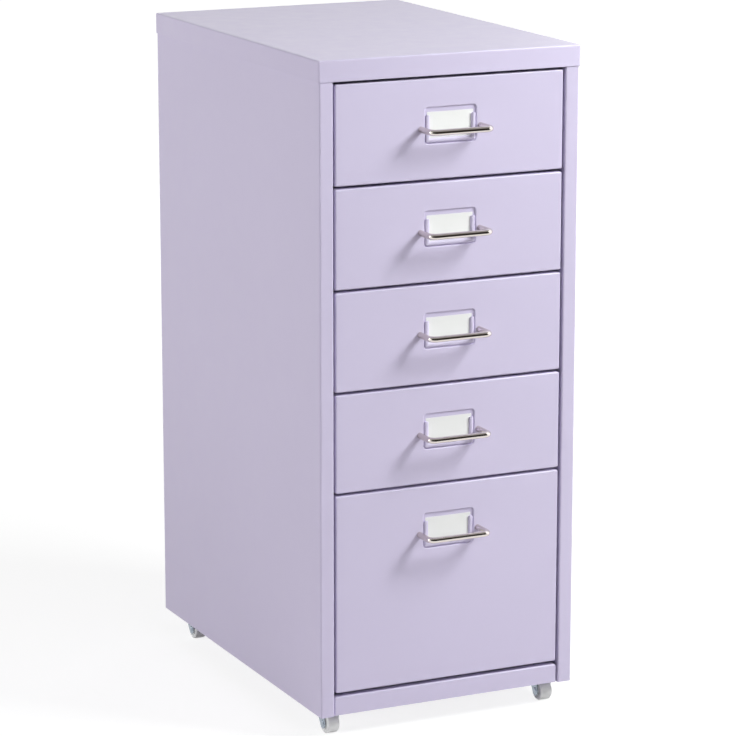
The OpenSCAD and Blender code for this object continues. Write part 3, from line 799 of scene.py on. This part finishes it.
for node, low, high in nodes("_tray"):
    _, front_high = limits(node.replace("tray", "front"))
    tray_half = front_high[0] - RIM_W
    rim_x = front_high[0] - half
    rim_z = high[2] - half
    lug_z = high[2] - RIM_H + half
    rim_front = front_high[1] + RIM_GAP
    border = [(0, 0), (TRAY_BORDER - SHEET, 0), (TRAY_BORDER - SHEET, SHEET), (0, SHEET)]
    frame_rings = carried(border, tray_half - SHEET, high[2], low[2] + SHEET, CORNER_R)
    shells = [
        skin(arch_pan(tray_half, low[1], high[1], high[2] - low[2], CORNER_R) + (0, 0, low[2])),
        skin(frame_rings[..., [0, 2, 1]] + (0, low[1], 0)),
    ]
    for side in (-1, 1):
        rim = [(side * (tray_half - half), rim_z), (side * rim_x, rim_z), (side * rim_x, high[2] - RIM_H)]
        lug = [(side * rim_x, lug_z), (side * high[0], lug_z)]
        shells += [strip(rim, rim_front, high[1]), strip(lug, high[1] - LUG_L, high[1])]
    piece(node, shells)

# %% Runners
RUNNER_T = 1.2 * MM
RUNNER_BEND = 1.2 * MM
RUN_CLEAR = 0.15 * MM
LIFT_CLEAR = 0.5 * MM
TRAVEL = max(joint["range_m"][1] for joint in frame["joints"] if joint["type"] == "slide")
STOP_CLEAR = 0.5 * MM
TAB_GAP = 1.5 * MM

_, front_high = limits("drawer_1_front")
tab_x = front_high[0] + TAB_GAP
for node, low, high in nodes("_runners"):
    side = np.sign(low[0])
    lip_x, web_x = (low[0], high[0] - RUNNER_T / 2) if side > 0 else (high[0], low[0] + RUNNER_T / 2)
    shells = []
    for _, _, tray_high in nodes("_tray"):
        under = tray_high[2] - RIM_H - RUN_CLEAR
        over = tray_high[2] + LIFT_CLEAR
        lower = under - RUNNER_T / 2
        upper = over + RUNNER_T / 2
        channel = [(lip_x, lower), (web_x, lower), (web_x, upper), (lip_x, upper)]
        stop = tray_high[1] - LUG_L - TRAVEL - STOP_CLEAR
        tab = [(side * tab_x, (under + over) / 2), (web_x, (under + over) / 2)]
        shells += [
            strip(channel, low[1], high[1], wall=RUNNER_T, radius=RUNNER_BEND),
            strip(tab, stop - RUNNER_T, stop, wall=over - under),
        ]
    piece(node, shells)

# %% [markdown]
# ## Card holders and cards
#
# A holder is a small pressed frame, open at the top. Its tabs stand on a narrow foot and arch over the
# card, and a bevel can't round their ends as softly as rows that drop away towards both sides and flatten.
# The card is thin and bowed, because the tabs hold it only at its sides.

# %% Section and ends of a tab
TAB_W = 4.8 * MM
TAB_CORNER_R = 1.8 * MM
FOOT_W = 1.4 * MM
CARD_SLOT = 0.52 * MM
TAB_FOOT = 0.2 * MM  # how high the arch starts at its outer side
TAB_EDGE = 0.12 * MM  # how thick it ends at its inner side
ARCH_POWER = 2.6
CUT = 0.1 * MM
CUT_RISE = 0.08 * MM
TAB_POINTS = 19


def holder_section(depth):
    """Foot, arched face and inner edge. Across the tab the face is a superellipse: the height over its base
    is the square root of 1 less a power of the distance from the tab's middle over half its width."""
    across = -np.cos(np.linspace(0, math.pi, TAB_POINTS))
    base = np.interp(across, (-1, 1), (TAB_FOOT, CARD_SLOT + TAB_EDGE))
    face = base + (depth - base) * np.sqrt(1 - np.abs(across) ** ARCH_POWER)
    return np.vstack((
        (0, 0),
        np.column_stack((TAB_W / 2 * (1 + across), face)),
        (TAB_W - CUT, CARD_SLOT),
        (FOOT_W + CUT, CARD_SLOT),
        (FOOT_W, CARD_SLOT - CUT_RISE),
        (FOOT_W, 0),
    ))


def round_end(extra):
    """How far a tab's end lies below its top line at each distance in: quarter circles at both corners."""
    def drop(inset):
        near = np.clip(TAB_CORNER_R - min(inset, TAB_W - inset), 0, TAB_CORNER_R)
        return extra + TAB_CORNER_R - math.sqrt(TAB_CORNER_R**2 - near**2)
    return drop


# %% Card holders
LIP_H = 4.5 * MM
TAB_PROUD = 1.4 * MM
TAB_SPREAD = 0.7 * MM
END_DROPS = ((0, 0.55), (0.12, 0.8), (0.35, 0.94), (0.8, 1))  # millimetres down, and flatness
END_ROWS = [(round_end(drop * MM), flatness) for drop, flatness in END_DROPS]
for node, low, high in nodes("_label_holder"):
    section = holder_section(high[1] - low[1] + TAB_PROUD)
    rings = carried(section, high[0] + TAB_SPREAD, high[2], low[2], TAB_CORNER_R, LIP_H / TAB_W, END_ROWS)
    piece(node, [skin(rings[..., [0, 2, 1]] * (1, -1, 1) + (0, high[1], 0))])

# %% Cards
CARD_T = 0.25 * MM
CARD_BOW = 0.2 * MM
CARD_COLUMNS = 17
for node, low, high in nodes("_card"):
    across = np.linspace(-1, 1, CARD_COLUMNS)
    bow = CARD_BOW * (1 - across**2)
    front_line = np.column_stack((across * high[0], high[1] - CARD_T - bow))
    back_line = np.column_stack((across * high[0], high[1] - bow))[::-1]
    loop = np.vstack((front_line, back_line))
    piece(node, [skin(np.stack([level(loop, z) for z in (low[2], high[2])]))], "card")

# %% [markdown]
# ## Wire handles
#
# A handle is one wire bent into a D, turned down to a threaded stud at each end. A bevelled curve could
# make the wire but not its studs. So a circle is carried along the middle of the wire, and its radius
# changes along the wire, for the shoulder, and round it too, which winds the thread.

# %% Path of the wire
STUD_R = 2 * MM
BEND_R = 5.5 * MM
STUD_CHAMFER = 0.4 * MM
STUD_ROWS = 64
WIRE_BEND_ROWS = 14
PAST_BEND = 1 * MM  # from an end of a bend to the next circle


def handle_path(leg_x, tail_y, face_y, bar_y, wire_r):
    """The wire from a stud to its first bend's end: X, Y, the way that the section's side axis points, the
    radius, and 1 where the wire is threaded, as five columns."""
    stud = np.linspace(tail_y, face_y, STUD_ROWS)
    stud_r = np.minimum(STUD_R, STUD_R - STUD_CHAMFER + (tail_y - stud))
    bend = np.radians(np.linspace(0, 90, WIRE_BEND_ROWS))
    bend_x = -leg_x + BEND_R * (1 - np.cos(bend))
    bend_y = bar_y + BEND_R * (1 - np.sin(bend))
    straight = [face_y, face_y - EDGE, face_y - PAST_BEND]
    x = np.r_[np.full(STUD_ROWS + 3, -leg_x), bend_x, -leg_x + BEND_R + PAST_BEND]
    y = np.r_[stud, straight, bend_y, bar_y]
    turn = np.r_[np.zeros(STUD_ROWS + 3), bend, math.pi / 2]
    radius = np.r_[stud_r, wire_r - EDGE, np.full(len(bend) + 3, wire_r)]
    threaded = np.r_[np.ones(STUD_ROWS), np.zeros(len(bend) + 4)]
    return np.column_stack((x, y, turn, radius, threaded))


# %% Handles
WIRE_POINTS = 32
THREAD_PITCH = 0.7 * MM
THREAD_DEPTH = 0.3 * MM


def handle_rings(leg_x, tail_y, face_y, bar_y, wire_r, z):
    """The half path, and its mirror image in reverse, with a circle at each point. On the studs the radius
    dips by a triangle wave of (distance along over pitch, less turns round), which is a thread."""
    near = handle_path(leg_x, tail_y, face_y, bar_y, wire_r)
    far = near[::-1] * (-1, 1, -1, 1, 1) + (0, 0, math.pi, 0, 0)
    x, y, turn, radius, threaded = np.vstack((near, far)).T[..., None]
    steps = np.hypot(np.diff(x, axis=0), np.diff(y, axis=0))
    along = np.vstack((0, np.cumsum(steps, axis=0)))
    angle = all_round(WIRE_POINTS)
    phase = along / THREAD_PITCH - angle / (2 * math.pi)
    reach = radius - THREAD_DEPTH * threaded * np.abs(2 * (phase % 1) - 1)
    side = reach * np.cos(angle)
    return np.stack((x + side * np.cos(turn), y + side * np.sin(turn), z + reach * np.sin(angle)), axis=-1)


for node, low, high in nodes("_handle"):
    front_low, _ = limits(node.replace("handle", "front"))
    wire_r = (high[2] - low[2]) / 2
    middle_z = (low[2] + high[2]) / 2
    rings = handle_rings(high[0] - wire_r, high[1], front_low[1], low[1] + wire_r, wire_r, middle_z)
    piece(node, [skin(rings)], "chrome_wire")

# %% [markdown]
# ## Nuts
#
# A nut is a hexagon whose corners are turned off. A boolean with a cone could do that, but a formula gives
# a cleaner mesh. Round the axis the hexagon's reach is half its width over the cosine of the angle from the
# nearest flat, and a cone limits it towards both faces. The smaller of the two is the surface.

# %% Handle nuts
NUT_HALF = 3.5 * MM  # from the middle to a flat
NUT_BORE_R = STUD_R + 0.05 * MM
NUT_CHAMFER = 0.3 * MM
NUT_FACE = 0.94  # share of NUT_HALF at which the cone meets the face
NUT_SLOPE = 1.7
NUT_DEPTHS = np.array([0.35, 0, 0, 0.12, 0.25, 0.4, 0.6]) * MM
NUT_POINTS = 72


def nut(centre, height):
    """A bored hexagon nut on the Y axis, whose near face is at centre."""
    angle = all_round(NUT_POINTS)
    hexagon = NUT_HALF / np.cos((angle + math.pi / 6) % (math.pi / 3) - math.pi / 6)
    depth = np.r_[NUT_DEPTHS, height - NUT_DEPTHS[::-1]]
    cone = NUT_FACE * NUT_HALF + NUT_SLOPE * np.minimum(depth, height - depth)
    cone[[0, -1]] = NUT_BORE_R
    cone[[1, -2]] = NUT_BORE_R + NUT_CHAMFER
    reach = np.minimum(hexagon, cone[:, None])
    y = np.broadcast_to(depth[:, None], reach.shape)
    return np.stack((reach * np.cos(angle), y, reach * np.sin(angle)), axis=-1) + centre


for node, low, high in nodes("_handle_nuts"):
    handle_low, handle_high = limits(node.removesuffix("_nuts"))
    nut_x = handle_high[0] - (handle_high[2] - handle_low[2]) / 2
    places = [(x, low[1], (low[2] + high[2]) / 2) for x in (-nut_x, nut_x)]
    shells = [skin(nut(place, high[1] - low[1]), closed=True) for place in places]
    piece(node, shells, "zinc")

# %% [markdown]
# ## Turned pieces
#
# Rivets, pins, bumpers and wheels are round about an axis. A screw modifier could spin them, but rings do
# it too: each piece is a profile of (radius, distance along the axis) and a circle for every row of it.
# Heads are low domes. A solid piece ends in two tiny flat faces, and a bored one closes on itself.

# %% Lathe and domes
ROUND_POINTS = 48
DOME_POINTS = 9
DOME_WALL = 0.25  # share of a dome's height that is upright
TIP_R = 0.1 * MM


def turned(profile, centre, axis, bored=False):
    """A circle for each row of the profile, in the two directions across the axis, which is 0, 1 or 2."""
    angle = all_round(ROUND_POINTS)
    radius, along = np.asarray(profile, float).T
    rings = np.empty((len(radius), ROUND_POINTS, 3))
    rings[..., axis] = along[:, None]
    rings[..., axis - 2] = radius[:, None] * np.cos(angle)
    rings[..., axis - 1] = radius[:, None] * np.sin(angle)
    return skin(rings + centre, closed=bored)


def dome(radius, base, top):
    """Profile of a low dome from its rim at base to its crown at top: a quarter ellipse on a wall."""
    angle = np.radians(np.linspace(0, 90, DOME_POINTS))
    wall = base + DOME_WALL * (top - base)
    rows = np.column_stack((radius * np.cos(angle), wall + (top - wall) * np.sin(angle)))
    rows[-1, 0] = TIP_R
    return np.vstack(((radius, base), rows))


def pin(shank_r, head_r, foot, foot_seat, top_seat, top):
    """Profile of a pin with two domed heads: foot and top are their crowns, and the seats hold the work."""
    lower = dome(head_r[0], foot_seat, foot)[::-1]
    return np.vstack((lower, (shank_r, foot_seat), (shank_r, top_seat), dome(head_r[1], top_seat, top)))


print("a turned piece has", ROUND_POINTS, "points round, and a dome", DOME_POINTS + 1, "rows")

# %% Back rivets
RIVETS_PER_SIDE = 5
RIVET_R = 1.6 * MM
RIVET_HEADS_R = (2.4 * MM, 3.2 * MM)
low, high = limits("back_rivets")
cap_low, _ = limits("top_cap")
side_low, side_high = limits("left_side_panel")
back_low, _ = limits("back_panel")
rivet_x = -side_low[0] - REAR_FLANGE / 2
heights = side_low[2] + (np.arange(RIVETS_PER_SIDE) + 0.5) * (cap_low[2] - side_low[2]) / RIVETS_PER_SIDE
profile = pin(RIVET_R, RIVET_HEADS_R, low[1], back_low[1], side_high[1], high[1])
shells = [turned(profile, (x, 0, z), 1) for x in (-rivet_x, rivet_x) for z in heights]
piece("back_rivets", shells, "zinc")

# %% Bumpers
NOSE_R = 1.5 * MM
low, high = limits("drawer_bumpers")
bumper_r = (high[0] - low[0]) / 2
nose = arc((bumper_r - NOSE_R, low[1] - high[1] + NOSE_R), NOSE_R, 0, -90, BEND_POINTS)
profile = np.vstack(((TIP_R, 0), (bumper_r, 0), nose, (TIP_R, low[1] - high[1])))
heights = [(tray_low[2] + tray_high[2]) / 2 for _, tray_low, tray_high in nodes("_tray")]
piece("drawer_bumpers", [turned(profile, (0, high[1], z), 1) for z in heights], "rubber")

# %% [markdown]
# ## Casters
#
# Each caster is a plate with a raised ring, a kingpin, a fork, an axle and a barrel wheel. The fork is a
# strip bent into an arch. Seen from the side it narrows from the crown to a round end at the axle: its
# edges are the lines from the crown's corners that touch the circle round the axle. So at each height the
# strip ends on the circle, below the point of touch, or on the line, above it.

# %% Edges of a fork
FORK_TIP_R = 5.2 * MM


def fork_edge(height, corner, axle, side):
    """Where along the cabinet the fork ends at each height. side is -1 for the front edge and 1 for the
    rear one. The line from the corner touches the circle where it meets a radius at a right angle."""
    gap = np.subtract(corner, axle)
    heading = math.atan2(gap[1], gap[0]) - side * math.acos(FORK_TIP_R / np.linalg.norm(gap))
    touch = np.add(axle, FORK_TIP_R * np.array((math.cos(heading), math.sin(heading))))
    line = touch[0] + (height - touch[1]) * (corner[0] - touch[0]) / (corner[1] - touch[1])
    circle = axle[0] + side * np.sqrt(np.clip(FORK_TIP_R**2 - (height - axle[1]) ** 2, 0, None))
    return np.where(height > touch[1], line, circle)


# %% Forks
FORK_T = 1.2 * MM
FORK_BEND = 2.2 * MM - FORK_T / 2
CROWN_HALF = 10 * MM  # from the swivel's axis to the front and the rear corner
FORK_EASE = 0.25 * MM
ARM_ROWS = 26
ARM_START = 10  # degrees up the tip's circle from its lowest point
CROWN_POINTS = 10


def fork(swivel, axle, arm_x, crown_z):
    """Rings along the bent strip: up the left arm, over the crown and down the right one. A ring has eight
    sides, and is as wide as the two edges leave and as thick as the steel, with its corners eased."""
    mid_top = crown_z - FORK_T / 2
    low_heights = axle[2] - FORK_TIP_R * np.cos(np.radians(np.linspace(ARM_START, 90, ARM_ROWS)))
    heights = np.r_[low_heights, mid_top - FORK_BEND - EASE]
    arm = np.column_stack((np.full(len(heights), -arm_x), heights))
    bend = arc((FORK_BEND - arm_x, mid_top - FORK_BEND), FORK_BEND, 180, 90, CROWN_POINTS)
    half_line = np.vstack((arm, bend, (FORK_BEND + EASE - arm_x, mid_top)))
    out = np.vstack((np.tile((-1, 0), (len(arm), 1)), arc((0, 0), 1, 180, 90, CROWN_POINTS), (0, 1)))
    line = np.vstack((half_line, half_line[::-1] * (-1, 1)))
    out = np.vstack((out, out[::-1] * (-1, 1)))
    front_edge, rear_edge = (
        fork_edge(line[:, 1], (swivel[1] + side * CROWN_HALF, crown_z), axle[1:], side) for side in (-1, 1)
    )
    across = np.array((0, 0, 1, 1, 1, 1, 0, 0), float)
    inset = np.array((0, 1, -1, 0, 0, -1, 1, 0)) * FORK_EASE
    thick = np.array((1, 2, 2, 1, -1, -2, -2, -1))
    lift = np.where(np.abs(thick) == 2, FORK_T / 2, FORK_T / 2 - FORK_EASE) * np.sign(thick)
    y = front_edge[:, None] + across * (rear_edge - front_edge)[:, None] + inset
    x = swivel[0] + line[:, :1] + out[:, :1] * lift
    z = line[:, 1:] + out[:, 1:] * lift
    return np.stack((x, y, z), axis=-1)


for node, low, high in nodes("_fork"):
    axle = sum(limits(node.replace("fork", "wheel"))) / 2
    swivel = sum(limits(node.replace("fork", "plate"))) / 2
    piece(node, [skin(fork(swivel, axle, (high[0] - low[0] - FORK_T) / 2, high[2]))], "zinc")

# %% [markdown]
# ## Wheel, axle and plate
#
# The wheel's profile runs over a slightly crowned tread, round a soft shoulder, across the rim, down into a
# dished ring and up onto the hub. Half of it is listed, and its mirror image closes it along the bore.

# %% Wheels
SHOULDER_R = 2 * MM
HUB_R = 4 * MM
DISH = 1.2 * MM
RIM = 3.5 * MM
BORE_R = 2.05 * MM
CROWN = 0.08 * MM
SOFT_R = 0.4 * MM
BEVEL = 0.25 * MM
TREAD_POINTS = 6
SHOULDER_POINTS = 9
SOFT_POINTS = 5


def wheel_profile(radius, half_width):
    """(radius, distance from the middle) from the tread to the bore on one side, and back on the other."""
    flat = half_width - SHOULDER_R
    tread = np.linspace(0, flat, TREAD_POINTS)
    rim = radius - RIM
    dish = half_width - DISH + SOFT_R
    half_profile = np.vstack((
        np.column_stack((radius - CROWN * (tread / flat) ** 2, tread)),
        arc((radius - CROWN - SHOULDER_R, flat), SHOULDER_R, 0, 90, SHOULDER_POINTS)[1:],
        (rim + SOFT_R, half_width),
        arc((rim + SOFT_R, half_width - SOFT_R), SOFT_R, 90, 180, SOFT_POINTS)[1:],
        (rim - BEVEL, dish),
        arc((rim - BEVEL - SOFT_R, dish), SOFT_R, 0, -90, SOFT_POINTS)[1:],
        arc((HUB_R + BEVEL + SOFT_R, dish), SOFT_R, 270, 180, SOFT_POINTS),
        (HUB_R, half_width - SOFT_R),
        arc((HUB_R - SOFT_R, half_width - SOFT_R), SOFT_R, 0, 90, SOFT_POINTS)[1:],
        (BORE_R + BEVEL, half_width),
        (BORE_R, half_width - BEVEL),
    ))
    return np.vstack((half_profile, half_profile[:0:-1] * (1, -1)))


for node, low, high in nodes("_wheel"):
    profile = wheel_profile((high[2] - low[2]) / 2, (high[0] - low[0]) / 2)
    piece(node, [turned(profile, (low + high) / 2, 0, bored=True)], "wheel_plastic")

# %% Axles
AXLE_R = 2 * MM
AXLE_HEADS_R = (3 * MM, 3 * MM)
for node, low, high in nodes("_axle"):
    fork_low, fork_high = limits(node.replace("axle", "fork"))
    seat = (fork_high[0] - fork_low[0]) / 2
    end = (high[0] - low[0]) / 2
    profile = pin(AXLE_R, AXLE_HEADS_R, -end, -seat, seat, end)
    piece(node, [turned(profile, (low + high) / 2, 0)], "zinc")

# %% Plates
RACE_R = 7.5 * MM
RACE_H = 0.8 * MM
RACE_EDGE = ((0.5 * MM, 0), (0.12 * MM, 0.12 * MM), (0, 0.4 * MM))  # inward and upward
RACE_FLARE = 0.1 * MM
PLATE_CORNER_R = 3 * MM
PLATE_EDGE = 0.3 * MM

for node, low, high in nodes("_plate"):
    middle = (low + high) / 2
    half_x, half_y = (high - middle)[:2]
    under = low[2] + RACE_H
    rows = ((PLATE_EDGE, under), (0, under + PLATE_EDGE), (0, high[2] - PLATE_EDGE), (PLATE_EDGE, high[2]))
    rings = np.stack([level(inset_outline(half_x, half_y, inset, PLATE_CORNER_R), z) for inset, z in rows])
    race = [
        (TIP_R, low[2]),
        *[(RACE_R - inset, low[2] + rise) for inset, rise in RACE_EDGE],
        (RACE_R + RACE_FLARE, under),
        (RACE_R, under + PLATE_EDGE),
        (TIP_R, under + PLATE_EDGE),
    ]
    shells = [skin(rings + (middle[0], middle[1], 0)), turned(race, (middle[0], middle[1], 0), 2)]
    piece(node, shells, "zinc")

# %% Kingpins and plate rivets
KINGPIN_R = 2.9 * MM
KINGPIN_HEADS_R = (5 * MM, 5 * MM)
PLATE_RIVET_R = 2 * MM
PLATE_RIVET_HEADS_R = (3.5 * MM, 3.5 * MM)
RIVET_HEAD_H = 1.2 * MM
RIVET_SPREAD = (12.5 * MM, 14.5 * MM)
low, high = limits("caster_kingpins")
swivels = [(plate_low + plate_high) / 2 * (1, 1, 0) for _, plate_low, plate_high in nodes("_plate")]
pan_z = floor_z - half
head_h = high[2] - pan_z
profile = pin(KINGPIN_R, KINGPIN_HEADS_R, low[2], low[2] + head_h, pan_z, high[2])
piece("caster_kingpins", [turned(profile, place, 2) for place in swivels], "zinc")

low, high = limits("caster_rivets")
seats = (low[2] + RIVET_HEAD_H, high[2] - RIVET_HEAD_H)
profile = pin(PLATE_RIVET_R, PLATE_RIVET_HEADS_R, low[2], *seats, high[2])
spread = [(x * RIVET_SPREAD[0], y * RIVET_SPREAD[1], 0) for x in (-1, 1) for y in (-1, 1)]
shells = [turned(profile, place + np.array(offset), 2) for place in swivels for offset in spread]
piece("caster_rivets", shells, "zinc")
